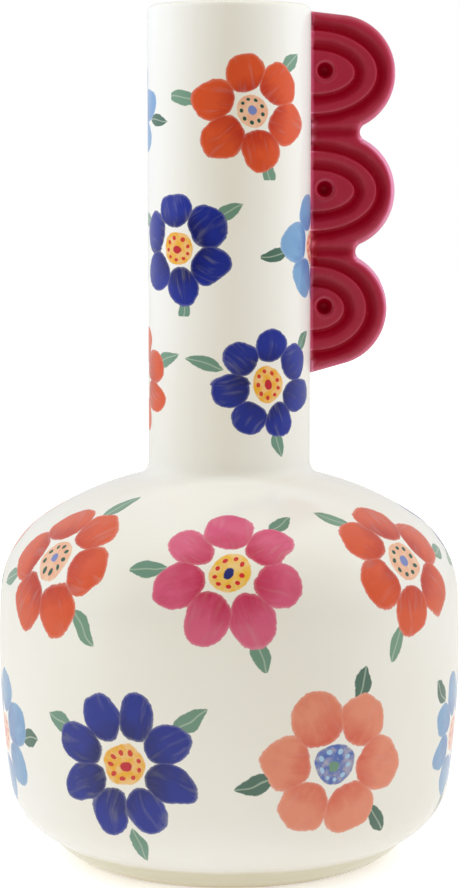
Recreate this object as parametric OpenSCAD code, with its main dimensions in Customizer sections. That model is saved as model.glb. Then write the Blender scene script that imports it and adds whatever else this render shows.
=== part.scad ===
// Long-necked bulb vase with a scalloped fin on one side of its neck.
// Fired ceramic, luted together from castings with thin layers of slip.
// The foot stands on z = 0, the axis is Z and the fin points along +X. Millimetres.

/* [Overall] */
// Height from the table to the top of the lip
total_h = 300; // [260:1:360]
// Thickness of every layer of slip between two castings
slip_t = 0.5; // [0.3:0.1:0.8]
// How far a layer of slip stays back from the edge that it lies under
slip_inset = 0.5; // [0.3:0.1:1]
// Free space round a register in its hole
register_gap = 0.4; // [0.2:0.1:0.8]

/* [Neck] */
// Outer diameter of the neck
neck_d = 57.2; // [48:0.2:66]
// Wall of the neck
neck_wall = 4.6; // [3.6:0.2:6]
// How far the foot of the neck flares out over the crown
flare_w = 2.6; // [1.5:0.1:4]
// Height of the square edge under the flare
flare_edge = 0.6; // [0.4:0.1:1.2]
// Wall of the register under the neck
register_wall = 3; // [2:0.2:3.4]

/* [Belly] */
// Widest diameter of the belly
belly_d = 163.4; // [150:0.2:180]
// Height of the widest place
belly_z = 76; // [68:1:84]
// Wall of the belly
belly_wall = 5; // [3:0.2:7]
// Height of the crown where the neck stands on it
crown_z = 136; // [128:0.5:144]
// Fall of the crown at the neck, in degrees
crown_fall = 13; // [8:0.5:18]
// Radius of the crown
crown_r = 107; // [95:1:140]
// Radius of the shoulder
shoulder_r = 33.5; // [28:0.5:38]
// Radius of the long side
side_r = 345; // [260:5:500]
// Radius of the heel above the foot
heel_r = 25; // [22:0.5:29]

/* [Foot] */
// Diameter of the foot where it stands on the table
foot_d = 104; // [98:0.5:110]
// Diameter of the top of the foot, under the heel
foot_top_d = 127; // [120:0.5:134]
// Height of the foot
foot_h = 7.8; // [6.6:0.1:9]
// Radius of the rounded side of the foot
foot_side_r = 25; // [20:0.5:40]
// Width of the ring that touches the table
foot_ring_w = 7; // [5:0.5:10]
// Depth of the hollow under the base
foot_hollow = 4; // [2:0.1:4.6]
// Diameter of the register that the base sends up into the belly
base_register_d = 88; // [80:1:94]

/* [Fin] */
// Number of lobes
lobe_count = 3; // [2:1:3]
// Radius of a lobe
lobe_r = 20.2; // [19:0.1:20.6]
// Distance from one lobe to the next
lobe_pitch = 41.2; // [40.8:0.1:42]
// How far the lobes stand out from the neck
lobe_reach = 30; // [26:0.2:32]
// How far the lowest lobe stands out from the neck
low_lobe_reach = 27.4; // [25:0.2:32]
// Distance from the lip down to the middle of the top lobe
top_lobe_drop = 23.2; // [22:0.2:30]
// Rise of the top edge toward the neck, in degrees
top_splay = 6; // [2:0.5:10]
// Fall of the bottom edge toward the neck, in degrees
low_splay = 15; // [2:0.5:16]
// Thickness of the slab
fin_t = 12; // [9:0.5:16]
// Rounding of the slab's edges
fin_round = 3; // [1.5:0.1:4]
// Radius of the notch between two lobes
notch_r = 3; // [2:0.1:3.4]
// How far the webs between the lobes lie below the lobes' faces
web_step = 0.4; // [0.2:0.1:0.8]

/* [Fin relief] */
// Width of the grooves
groove_w = 2.8; // [2:0.1:3.4]
// Depth of the grooves
groove_depth = 1.5; // [0.8:0.1:2]
// Radius of the middle of the outer groove
outer_groove_r = 14.4; // [13.6:0.1:15]
// Radius of the middle of the inner groove
inner_groove_r = 7.6; // [7:0.1:8.4]
// How far the grooves lie back from the middle of their lobe
groove_setback = 1.2; // [0:0.1:2]
// Diameter of the pit in each lobe
pit_d = 5.6; // [4:0.1:6.4]
// Depth of the pit
pit_depth = 3.2; // [1.5:0.1:4]
// Distance from the neck to the middle of the pit
pit_x = 4.8; // [4:0.1:6]

/* [Hidden] */
$fn = 96;
// Overlap of pieces of one casting and reach of cutting tools
over = 1;
// Small step by which two round surfaces of one casting cross where they run into each other
blend = 0.05;
// The same step where the lobes of the fin run into its webs and edges
fin_blend = 0.15;
// Angle by which a tight arc of the belly runs on under the wide arcs beside it
arc_lap = 8;

// Neck
neck_r = neck_d / 2;
bore_r = neck_r - neck_wall;
flange_r = neck_r + flare_w;
register_r = bore_r + register_wall;
crown_hole_r = register_r + register_gap;
neck_z = crown_z + slip_t;
lip_r = neck_wall / 2;

// Belly: four arcs, each tangent to the next, from the crown down to the foot
foot_top_r = foot_top_d / 2;
base_register_r = base_register_d / 2;
base_hole_r = base_register_r + register_gap;
belly_base_z = foot_h + slip_t;
crown_edge = [flange_r, crown_z];
foot_edge = [foot_top_r, belly_base_z];
crown_c = crown_edge - crown_r * [sin(crown_fall), cos(crown_fall)];
side_c = [belly_d / 2 - side_r, belly_z];
shoulder_c = circles_meet(side_c, side_r - shoulder_r, crown_c, crown_r - shoulder_r, 1);
heel_c = circles_meet(side_c, side_r - heel_r, foot_edge, heel_r, 1);
crown_dir = unit(shoulder_c - crown_c);
shoulder_dir = unit(shoulder_c - side_c);
heel_dir = unit(heel_c - side_c);
foot_dir = unit(foot_edge - heel_c);

// Foot: its side is an arc from the table up to the slip under the heel
foot_r = foot_d / 2;
foot_side_c = circles_meet([foot_r, 0], foot_side_r, [foot_top_r, foot_h], foot_side_r, 1);

// Fin: lobes are numbered from the top
fin_back_r = neck_r + slip_t;
groove_r = (groove_w * groove_w / 4 + groove_depth * groove_depth) / (2 * groove_depth);
groove_y = fin_t / 2 + groove_r - groove_depth;
pit_r = pit_d / 2;
// The slab's round edge is a little flatter than a quarter circle, so it meets the faces at a soft crease
round_r = 1.25 * fin_round;
round_in = fin_round / 2 + sqrt(round_r * round_r / 2 - fin_round * fin_round / 4);

// Vector of length 1 along v
function unit(v) = v / norm(v);

// Where the circles about a and b cross, on the left of a to b (side 1) or on its right (side -1)
function circles_meet(a, ra, b, rb, side) =
    let (along = unit(b - a), span = norm(b - a))
    let (x = (ra * ra - rb * rb + span * span) / (2 * span))
    a + along * x + side * [-along.y, along.x] * sqrt(ra * ra - x * x);

// How far lobe i stands out from the neck
function reach(i) = i == lobe_count - 1 ? low_lobe_reach : lobe_reach;

// Middle of lobe i, as distance from the vase's axis and height
function lobe_c(i) = [neck_r + reach(i) - lobe_r, total_h - top_lobe_drop - i * lobe_pitch];

// Middle of the round notch under lobe i
function notch_c(i) =
    let (reach_out = lobe_r + notch_r - fin_blend)
    circles_meet(lobe_c(i), reach_out, lobe_c(i + 1), reach_out, 1);

// The rim of a disc about c between directions a and b, run on at each end by lap degrees
module arc_rim(c, r, a, b, lap) {
    from = atan2(a.y, a.x) + lap;
    to = atan2(b.y, b.x) - lap;
    in = r - 2 * over;
    out = (r + over) / cos((from - to) / 2);
    intersection() {
        translate(c) circle(r, $fn = 360);
        polygon([
            c + in * [cos(from), sin(from)],
            c + out * [cos(from), sin(from)],
            c + out * [cos(to), sin(to)],
            c + in * [cos(to), sin(to)]
        ]);
    }
}

// Half section of the belly, drawn in from its outside by inset
module belly_section(inset) {
    core = inset + over;
    low = heel_c + (heel_r - core) * foot_dir;
    intersection() {
        translate([0, belly_base_z + inset]) square([belly_d, crown_z - belly_base_z - inset]);
        union() {
            polygon([
                [0, 0],
                [low.x, 0],
                low,
                side_c + (side_r - core) * heel_dir,
                side_c + (side_r - core) * shoulder_dir,
                crown_c + (crown_r - core) * crown_dir,
                crown_c + (crown_r - core) * [0, 1]
            ]);
            arc_rim(crown_c, crown_r - inset, [0, 1], crown_dir, 0);
            arc_rim(shoulder_c, shoulder_r - inset + blend, crown_dir, shoulder_dir, arc_lap);
            arc_rim(side_c, side_r - inset, shoulder_dir, heel_dir, 0);
            arc_rim(heel_c, heel_r - inset + blend, heel_dir, foot_dir, arc_lap);
        }
    }
}

// Ring between radii r1 and r2, standing at height z
module ring(r1, r2, z, h) {
    translate([0, 0, z]) rotate_extrude($fn = 180) translate([r1, 0]) square([r2 - r1, h]);
}

// The cast bulb
module belly_shell() {
    color("#f3f0e4") rotate_extrude($fn = 180) difference() {
        belly_section(0);
        belly_section(belly_wall);
        translate([0, belly_z]) square([crown_hole_r, total_h]);
        square([base_hole_r, belly_z]);
    }
}

// The straight neck with its round lip, flared foot and register
module neck_tube() {
    register_h = slip_t + belly_wall;
    flare_z = neck_z + flare_edge;
    color("#f3f0e4") rotate_extrude($fn = 180) {
        translate([bore_r, neck_z]) square([neck_wall, total_h - lip_r - neck_z]);
        translate([bore_r + lip_r, total_h - lip_r]) circle(lip_r);
        translate([bore_r, neck_z - register_h]) square([register_wall, register_h + over]);
        difference() {
            translate([neck_r - over, neck_z]) square([flare_w + over, flare_edge + flare_w]);
            translate([flange_r, flare_z + flare_w]) circle(flare_w);
        }
    }
}

// The base disc with its foot ring
module foot_base() {
    color("#e6e2cc") rotate_extrude($fn = 180) difference() {
        union() {
            square([foot_side_c.x, foot_h]);
            intersection() {
                translate([foot_side_c.x - over, 0]) square([foot_top_r, foot_h]);
                translate(foot_side_c) circle(foot_side_r, $fn = 360);
            }
            square([base_register_r, foot_h + slip_t + belly_wall]);
        }
        translate([-over, -over]) square([foot_r - foot_ring_w + over, foot_hollow + over]);
        translate([-over * 99, -over]) square([over * 99, total_h]);
    }
}

// What the rounding takes off a corner of the slab: the corner at the origin, the slab at its lower left
module corner_cut() {
    difference() {
        translate([-round_in, -round_in]) square(round_in + over);
        translate([-round_in, -round_in]) circle(round_r);
    }
}

// Half section of the slab, from its middle out to a round edge at distance r, with faces at heights +-face
module slab_section(r, face) {
    difference() {
        translate([0, -face]) square([r, 2 * face]);
        translate([r, face]) corner_cut();
        translate([r, -face]) mirror([0, 1]) corner_cut();
    }
}

// Half section of a web, from its round edge at the notch out to distance r
module notch_section(r, face) {
    difference() {
        translate([notch_r, -face]) square([r - notch_r, 2 * face]);
        translate([notch_r, face]) mirror([1, 0]) corner_cut();
        translate([notch_r, -face]) mirror([1, 0]) mirror([0, 1]) corner_cut();
    }
}

// Stands what is drawn about Z upright, about the level line through p, turned by a
module upright(p, a) {
    translate([p.x, 0, p.y]) rotate([90, 0, 0]) rotate([0, 0, a]) children();
}

// Runs a section, drawn outward from the middle of a lobe, into the neck as an upper (1) or lower (-1) leg
module leg(end) {
    rotate([90, 0, 90])
        translate([0, 0, -lobe_reach])
        linear_extrude(lobe_reach)
        mirror([end < 0 ? 1 : 0, 0]) children();
}

// Lobe i: a round-edged disc, with the web under it and the slab's top or bottom edge
module lobe(i) {
    upright(lobe_c(i), 0) rotate_extrude() slab_section(lobe_r, fin_t / 2);
    if (i == 0) upright(lobe_c(i), -top_splay) leg(1) edge_section();
    if (i == lobe_count - 1) upright(lobe_c(i), low_splay) leg(-1) edge_section();
    else web(i);
}

// Section of the slab's top and bottom edges, a hair inside the lobes
module edge_section() {
    slab_section(lobe_r - fin_blend, fin_t / 2 - blend);
}

// The web under lobe i, from the notch into the neck, rounded into that lobe and the next
module web(i) {
    c = notch_c(i);
    up = lobe_c(i) - c;
    down = lobe_c(i + 1) - c;
    from = atan2(up.y, up.x);
    sweep = atan2(down.y, down.x) + 360 - from;
    depth = c.x - neck_r + 2 * over;
    upright(c, from) rotate_extrude(angle = sweep) notch_section(depth, fin_t / 2 - web_step);
}

// An arched groove of radius r round lobe i, with level legs into the neck, on the face at side
module groove(i, r, side) {
    upright(lobe_c(i) - [groove_setback, 0], 0) {
        rotate([0, 0, -90]) rotate_extrude(angle = 180) groove_spot(r, side);
        for (end = [-1, 1]) leg(end) groove_spot(r, side);
    }
}

// Cross-section of a groove at distance r from the middle of its lobe
module groove_spot(r, side) {
    translate([r, side * groove_y]) circle(groove_r, $fn = 48);
}

// The groove between lobe i and the next, from the notch into the neck
module valley(i, side) {
    c = notch_c(i);
    translate([0, -side * groove_y, c.y]) rotate([0, 90, 0]) cylinder(h = c.x, r = groove_r, $fn = 48);
}

// The pit in lobe i, with a round bottom
module pit(i, side) {
    translate([neck_r + pit_x, -side * (fin_t / 2 - pit_depth + pit_r), lobe_c(i).y]) {
        rotate([side * 90, 0, 0]) cylinder(h = pit_depth, r = pit_r, $fn = 48);
        sphere(pit_r, $fn = 48);
    }
}

// The slab of lobes with its relief on both faces
module scalloped_fin() {
    color("#8c2038") difference() {
        union() for (i = [0 : lobe_count - 1]) lobe(i);
        cylinder(h = total_h, r = fin_back_r, $fn = 180);
        for (side = [-1, 1]) {
            for (i = [0 : lobe_count - 1]) {
                groove(i, outer_groove_r, side);
                groove(i, inner_groove_r, side);
                pit(i, side);
            }
            for (i = [0 : lobe_count - 2]) valley(i, side);
        }
    }
}

// Slip between the neck and the crown
module neck_slip() {
    color("#dcd6c0") ring(crown_hole_r, flange_r - slip_inset, crown_z, slip_t);
}

// Slip between the base and the belly
module foot_slip() {
    color("#dcd6c0") ring(base_hole_r, foot_top_r - slip_inset, foot_h, slip_t);
}

// Slip between the fin and the neck
module fin_slip() {
    top = lobe_c(0).y + lobe_r - fin_round;
    low = lobe_c(lobe_count - 1).y - lobe_r + fin_round;
    width = fin_t - 2 * fin_round;
    color("#dcd6c0") intersection() {
        ring(neck_r + slip_t / 5, fin_back_r - slip_t / 5, low, top - low);
        translate([0, -width / 2, low - over]) cube([fin_back_r, width, top - low + 2 * over]);
    }
}

belly_shell();
neck_tube();
foot_base();
scalloped_fin();
neck_slip();
foot_slip();
fin_slip();
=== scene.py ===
"""Dresses a long-necked bulb vase: glazed castings, a scalloped fin and painted rosettes.

All sizes are in metres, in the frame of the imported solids: +Z up, the fin along +X, the foot on z = 0.
"""

import logging
import math
from dataclasses import dataclass, field
from enum import Enum
from typing import NamedTuple

import bmesh
import bpy
import numpy as np
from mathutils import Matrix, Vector


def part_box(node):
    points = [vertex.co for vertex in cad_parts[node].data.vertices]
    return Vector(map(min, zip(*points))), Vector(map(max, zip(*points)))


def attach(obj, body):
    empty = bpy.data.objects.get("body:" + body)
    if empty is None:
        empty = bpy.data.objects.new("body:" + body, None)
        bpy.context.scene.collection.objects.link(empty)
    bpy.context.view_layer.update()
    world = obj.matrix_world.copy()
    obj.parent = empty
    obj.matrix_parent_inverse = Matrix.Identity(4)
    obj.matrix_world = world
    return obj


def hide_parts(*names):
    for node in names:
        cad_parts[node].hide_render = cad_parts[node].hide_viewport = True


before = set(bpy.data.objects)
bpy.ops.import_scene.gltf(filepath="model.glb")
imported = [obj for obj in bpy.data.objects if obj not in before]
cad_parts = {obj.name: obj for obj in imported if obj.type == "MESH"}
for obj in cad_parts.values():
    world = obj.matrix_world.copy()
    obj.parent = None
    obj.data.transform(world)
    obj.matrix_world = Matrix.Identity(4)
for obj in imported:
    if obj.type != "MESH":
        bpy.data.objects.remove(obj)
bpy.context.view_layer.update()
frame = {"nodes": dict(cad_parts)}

LOG = logging.getLogger("vase")
BODY = "root"
BAKE_MAP = "OFBake"
PHOTO_WIDTH = 460
PHOTO_HEIGHT = 888
TINY = 1e-6
NOISE_MIDDLE = 0.5
NOISE_RUN = (0.25, 0.75)

Point = tuple[float, float]
Place = tuple[float, float, float]
Colour = tuple[float, float, float, float]
WHITE: Colour = (1.0, 1.0, 1.0, 1.0)


def srgb(red: int, green: int, blue: int) -> Colour:
    """Turns a colour as it is seen, 0 to 255, into the linear colour that a shader takes.

    Args:
        red: Red, 0 to 255.
        green: Green, 0 to 255.
        blue: Blue, 0 to 255.

    Returns:
        The linear colour with full alpha.
    """

    def linear(value: int) -> float:
        """Undoes the display's curve for one channel."""
        share = value / 255
        return share / 12.92 if share <= 0.04045 else ((share + 0.055) / 1.055) ** 2.4

    return (linear(red), linear(green), linear(blue), 1.0)


class Coat(Enum):
    """The finish of a stretch of a turned casting, as its material slot."""

    OUTSIDE = 0
    INSIDE = 1


class Layer(Enum):
    """Layers of paint in a rosette, in the order of Palette's colours."""

    PETAL = 0
    ROOT = 1
    DISC = 2
    DOTS = 3
    CORE = 4
    LEAF = 5


class Palette(Enum):
    """Colours of one rosette: petal, petal's root, disc, dots, core and leaf."""

    COBALT = ((26, 44, 150), (14, 20, 102), (246, 180, 44), (214, 58, 44), (200, 32, 48), (104, 148, 128))
    CORAL = ((238, 146, 116), (224, 100, 74), (78, 108, 188), (170, 206, 238), (112, 154, 130), (58, 104, 86))
    EMBER = ((226, 88, 46), (196, 54, 32), (246, 186, 154), (46, 92, 76), (126, 142, 204), (112, 154, 130))
    ROSE = ((226, 100, 138), (202, 50, 88), (248, 194, 64), (218, 50, 52), (40, 48, 122), (104, 148, 128))
    SKY = ((124, 168, 212), (84, 128, 190), (248, 178, 148), (228, 86, 120), (224, 60, 102), (58, 104, 86))

    def colour(self, layer: Layer) -> Colour:
        """The linear colour of one layer of the rosette."""
        return srgb(*self.value[layer.value])


@dataclass(frozen=True)
class Rosette:
    """One painted flower: its colours, number of petals, turn and size."""

    palette: Palette
    petals: int
    turn: float
    size: float


class RowPlace(NamedTuple):
    """Where a row of rosettes lies on a turned surface, or the step from one row to the next.

    The slope is the surface's there, and the angle is where the row's first rosette lies, both in radians.
    """

    height: float
    radius: float
    slope: float
    angle: float


@dataclass(frozen=True)
class RosetteField:
    """Rows of rosettes round a turned surface, evenly stepped from the lowest row up."""

    rows: int
    per_row: int
    radius: float
    first: RowPlace
    step: RowPlace
    rosettes: tuple[Rosette, ...]


class Flow:
    """A value in a tree of nodes, on which arithmetic adds the nodes that work it out."""

    def __init__(self, sheet: "NodeSheet", socket: bpy.types.NodeSocket) -> None:
        """Wraps one output.

        Args:
            sheet: The sheet that the output is on.
            socket: The output.
        """
        self.sheet = sheet
        self.socket = socket

    def __add__(self, other: "Value") -> "Flow":
        """The sum with another value."""
        return self.sheet.math("ADD", self, other)

    def __sub__(self, other: "Value") -> "Flow":
        """The difference from another value."""
        return self.sheet.math("SUBTRACT", self, other)

    def __mul__(self, other: "Value") -> "Flow":
        """The product with another value."""
        return self.sheet.math("MULTIPLY", self, other)

    def __truediv__(self, other: "Value") -> "Flow":
        """The share of another value."""
        return self.sheet.math("DIVIDE", self, other)

    def __rtruediv__(self, other: float) -> "Flow":
        """A number divided by it."""
        return self.sheet.math("DIVIDE", other, self)

    def __abs__(self) -> "Flow":
        """The value without its sign."""
        return self.sheet.math("ABSOLUTE", self)

    def rounded(self) -> "Flow":
        """The nearest whole number."""
        return self.sheet.math("ROUND", self)

    def within(self, low: float, high: float) -> "Flow":
        """The value, kept from low to high."""
        return self.sheet.math("MAXIMUM", self.sheet.math("MINIMUM", self, high), low)


Value = Flow | float
Tint = Flow | Colour


class NodeSheet:
    """Lays out one tree of nodes, so that a finish or a light reads as a list of steps."""

    def __init__(self, tree: bpy.types.NodeTree) -> None:
        """Starts with an empty tree.

        Args:
            tree: The tree of a material or a world.
        """
        self.tree = tree
        tree.nodes.clear()

    def add(self, kind: str, **settings: object) -> bpy.types.Node:
        """Adds a node.

        Args:
            kind: The node's type.
            **settings: Properties to set on it.

        Returns:
            The new node.
        """
        node = self.tree.nodes.new(kind)
        for key, value in settings.items():
            setattr(node, key, value)
        return node

    def feed(self, socket: bpy.types.NodeSocket, value: object) -> None:
        """Links a value to an input, or sets a plain one on it.

        Args:
            socket: The input.
            value: A value of the tree, or a plain number or colour.
        """
        if isinstance(value, Flow):
            self.tree.links.new(value.socket, socket)
        else:
            socket.default_value = value

    def step(self, kind: str, *values: object, **settings: object) -> Flow:
        """Adds a node and feeds its inputs in their order.

        Args:
            kind: The node's type.
            *values: What its first inputs take.
            **settings: Properties to set on it.

        Returns:
            The node's first output.
        """
        node = self.add(kind, **settings)
        for socket, value in zip(node.inputs, values):
            self.feed(socket, value)
        return Flow(self, node.outputs[0])

    def math(self, operation: str, *values: Value) -> Flow:
        """One step of arithmetic, by Blender's name for it."""
        return self.step("ShaderNodeMath", *values, operation=operation)

    def distance(self, x: Flow, y: Flow) -> Flow:
        """How far a place on a plane lies from the origin."""
        return self.math("SQRT", x * x + y * y)

    def fade(self, value: Value, start: Value, end: Value, low: float = 0.0, high: float = 1.0) -> Flow:
        """A soft step of a value.

        Args:
            value: What is stepped.
            start: Where the step starts.
            end: Where it ends.
            low: The result at the start.
            high: The result at the end.

        Returns:
            The stepped value.
        """
        return self.step("ShaderNodeMapRange", value, start, end, low, high, interpolation_type="SMOOTHSTEP")

    def mix(self, share: Value, under: Tint, over: Tint) -> Flow:
        """Lays one colour over another.

        Args:
            share: How much of the upper colour shows.
            under: The lower colour.
            over: The upper colour.

        Returns:
            The mixed colour.
        """
        node = self.add("ShaderNodeMix", data_type="RGBA")
        # The node's inputs 6 and 7 and its output 2 are the ones for colours.
        for place, value in ((0, share), (6, under), (7, over)):
            self.feed(node.inputs[place], value)
        return Flow(self, node.outputs[2])

    def ramp(self, share: Value, stops: list[tuple[float, Colour]], steps: bool = False) -> Flow:
        """Colours along a scale.

        Args:
            share: The place on the scale, 0 to 1.
            stops: Places and their colours, in order.
            steps: True for steps, False for a run from colour to colour.

        Returns:
            The colour.
        """
        node = self.add("ShaderNodeValToRGB")
        scale = node.color_ramp
        scale.interpolation = "CONSTANT" if steps else "EASE"
        while len(scale.elements) < len(stops):
            scale.elements.new(1.0)
        for element, (place, colour) in zip(scale.elements, stops):
            element.position = place
            element.color = colour
        self.feed(node.inputs[0], share)
        return Flow(self, node.outputs[0])

    def noise(self, place: Flow, scale: float, detail: float = 2.0, output: str = "Fac") -> Flow:
        """Soft random variation.

        Args:
            place: The coordinates.
            scale: Waves per metre.
            detail: How many finer waves are added.
            output: Fac for one value, Color for three.

        Returns:
            The value or the three values, about 0.5.
        """
        node = self.add("ShaderNodeTexNoise")
        for name, value in (("Vector", place), ("Scale", scale), ("Detail", detail)):
            self.feed(node.inputs[name], value)
        return Flow(self, node.outputs[output])

    def vector(self, x: Value, y: Value, z: Value) -> Flow:
        """Joins three values into a vector."""
        return self.step("ShaderNodeCombineXYZ", x, y, z)

    def parts(self, vector: Flow) -> tuple[Flow, Flow, Flow]:
        """Splits a vector.

        Args:
            vector: The vector, or a colour.

        Returns:
            Its three values.
        """
        node = self.add("ShaderNodeSeparateXYZ")
        self.feed(node.inputs[0], vector)
        return tuple(Flow(self, output) for output in node.outputs)

    def rays(self) -> tuple[Flow, Flow, Flow]:
        """Tells what kind of ray looks at the surface.

        Returns:
            Three values, each 1 for its own kind of ray and 0 for the others: a ray from the camera, one that
            gloss or glass sends on, and a diffuse one.
        """
        path = self.add("ShaderNodeLightPath").outputs
        kinds = ("Camera", "Glossy", "Transmission", "Diffuse")
        camera, glossy, through, diffuse = (Flow(self, path[f"Is {kind} Ray"]) for kind in kinds)
        return camera, self.math("MAXIMUM", glossy, through), diffuse


class FinishSheet(NodeSheet):
    """Lays out one material's nodes round a Principled shader."""

    def __init__(self, name: str) -> None:
        """Makes the material.

        Args:
            name: The material's name.
        """
        self.material = bpy.data.materials.new(name)
        self.material.use_nodes = True
        super().__init__(self.material.node_tree)
        self.shader = self.add("ShaderNodeBsdfPrincipled")
        output = self.add("ShaderNodeOutputMaterial")
        self.feed(output.inputs["Surface"], Flow(self, self.shader.outputs[0]))

    def set(self, **values: object) -> None:
        """Feeds the shader's inputs.

        Args:
            **values: What each takes, by its name with _ for a space.
        """
        for key, value in values.items():
            self.feed(self.shader.inputs[key.replace("_", " ")], value)

    def place(self) -> Flow:
        """The point of the piece that is shaded, in metres."""
        return Flow(self, self.add("ShaderNodeTexCoord").outputs["Object"])

    def bump(self, height: Flow, depth: float, strength: float) -> None:
        """Roughens the shader's surface.

        Args:
            height: The relief, 0 to 1.
            depth: How deep the whole relief is.
            strength: How much of it shows.
        """
        node = self.add("ShaderNodeBump")
        for name, value in (("Strength", strength), ("Distance", depth), ("Height", height)):
            self.feed(node.inputs[name], value)
        self.set(Normal=Flow(self, node.outputs[0]))


@dataclass(frozen=True)
class IvoryGlaze:
    """Clear glossy glaze over white slip, with a few specks."""

    name: str = "ivory_glaze"
    light: Colour = srgb(253, 251, 246)
    warm: Colour = srgb(250, 247, 239)
    cloud_waves: float = 14.0
    cloud_run: Point = (0.3, 0.7)
    speck: Colour = srgb(150, 138, 116)
    speck_cells: float = 70.0
    speck_size: float = 0.00022
    speck_rarity: Point = (0.82, 0.9)
    rough: Point = (0.10, 0.18)
    rough_waves: float = 60.0
    ripple_waves: float = 85.0
    ripple_depth: float = 0.0006
    ripple_strength: float = 0.10
    ior: float = 1.5

    def ground(self, sheet: FinishSheet, place: Flow) -> Flow:
        """The colour of the glaze under any paint.

        Args:
            sheet: The material's nodes.
            place: The shaded point.

        Returns:
            The colour.
        """
        cloud = sheet.fade(sheet.noise(place, self.cloud_waves, detail=3.0), *self.cloud_run)
        colour = sheet.mix(cloud, self.light, self.warm)
        cells = sheet.add("ShaderNodeTexVoronoi", feature="F1")
        sheet.feed(cells.inputs["Vector"], place)
        sheet.feed(cells.inputs["Scale"], self.speck_cells)
        near = sheet.fade(Flow(sheet, cells.outputs["Distance"]), self.speck_size * self.speck_cells, 0.0)
        rare = sheet.fade(sheet.parts(Flow(sheet, cells.outputs["Color"]))[0], *self.speck_rarity)
        return sheet.mix(near * rare, colour, self.speck)

    def colour(self, sheet: FinishSheet, place: Flow) -> Flow:
        """The colour that shows: here the bare glaze."""
        return self.ground(sheet, place)

    def build(self) -> bpy.types.Material:
        """Makes the material, with its wet gloss and the slow waves of poured glaze.

        Returns:
            The material.
        """
        sheet = FinishSheet(self.name)
        place = sheet.place()
        sheet.set(Base_Color=self.colour(sheet, place), IOR=self.ior)
        sheet.set(Roughness=sheet.fade(sheet.noise(place, self.rough_waves), *NOISE_RUN, *self.rough))
        sheet.bump(sheet.noise(place, self.ripple_waves, detail=1.5), self.ripple_depth, self.ripple_strength)
        return sheet.material


@dataclass(frozen=True)
class RosetteStyle:
    """Proportions of a rosette, in its radii, and how the brush lays it on."""

    wobble: float = 0.10
    wobble_waves: float = 75.0
    fray_waves: float = 620.0
    wash_waves: float = 150.0
    most_petals: int = 16
    leaf_count: int = 3
    leaf_turn: float = 0.31
    leaf_middle: float = 1.06
    leaf_half: float = 0.25
    leaf_width: float = 0.13
    leaf_fray: float = 0.25
    leaf_edge: Point = (1.0, 0.86)
    leaf_cover: float = 0.96
    vein: Colour = srgb(206, 220, 200)
    vein_edge: Point = (0.016, 0.006)
    vein_cover: float = 0.45
    petal_middle: float = 0.66
    petal_half: float = 0.34
    petal_width: float = 0.64
    petal_luck: float = 0.05
    petal_fray: float = 0.10
    petal_edge: Point = (1.0, 0.95)
    root_run: Point = (0.78, 0.34)
    root_shade: float = 0.85
    streak_across: float = 12.0
    streak_along: float = 1.8
    petal_apart: float = 3.7
    rosette_apart: float = 41.0
    streak_shade: float = 0.9
    wash_shade: float = 1.3
    luck_shade: float = 0.35
    thin_wash: float = 0.5
    thin_run: Point = (0.50, 0.86)
    thin_share: float = 0.10
    edge_run: Point = (0.84, 1.0)
    edge_share: float = 0.16
    disc_edge: float = 0.29
    disc_fray: float = 0.03
    disc_gap: Point = (0.024, 0.008)
    disc_gap_cover: float = 0.7
    disc_pale: Colour = srgb(255, 236, 206)
    mottle_waves: float = 330.0
    mottle_run: Point = (0.35, 0.7)
    mottle_share: float = 0.4
    dot_count: int = 9
    dot_ring: float = 0.195
    dot_size: float = 0.034
    dot_fray: float = 0.3
    dot_edge: Point = (1.15, 0.85)
    core_edge: float = 0.085
    soft_edge: float = 0.02


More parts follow.
